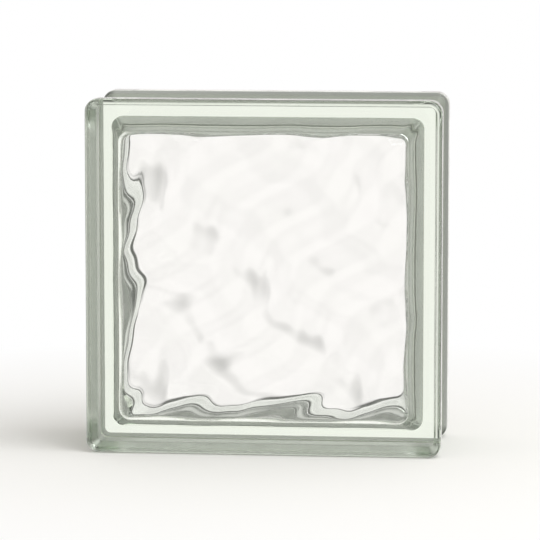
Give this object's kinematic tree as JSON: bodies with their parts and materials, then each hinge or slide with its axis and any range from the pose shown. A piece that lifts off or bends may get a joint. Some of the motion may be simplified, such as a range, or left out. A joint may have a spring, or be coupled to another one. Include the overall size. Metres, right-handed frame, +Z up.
{
  "type": "glass block",
  "caption": "Square hollow glass block with wavy inner faces, a rounded rim, and a mortar channel round its edges; one fused piece of pale green glass.",
  "frame": {"origin": "middle of the base, at the lowest point of the block's box, midway between the two faces", "axes": "+X along the width, +Y through the block's depth from the front face to the rear face, +Z up"},
  "size_m": [0.19, 0.08, 0.19],
  "materials": {
    "glass": "fire-polished clear soda-lime glass with a pale green cast, smooth outside, matt in the mortar channel and softly wavy inside the hollow"
  },
  "bodies": {
    "root": {"glass_block": "glass"}
  },
  "joints": []
}
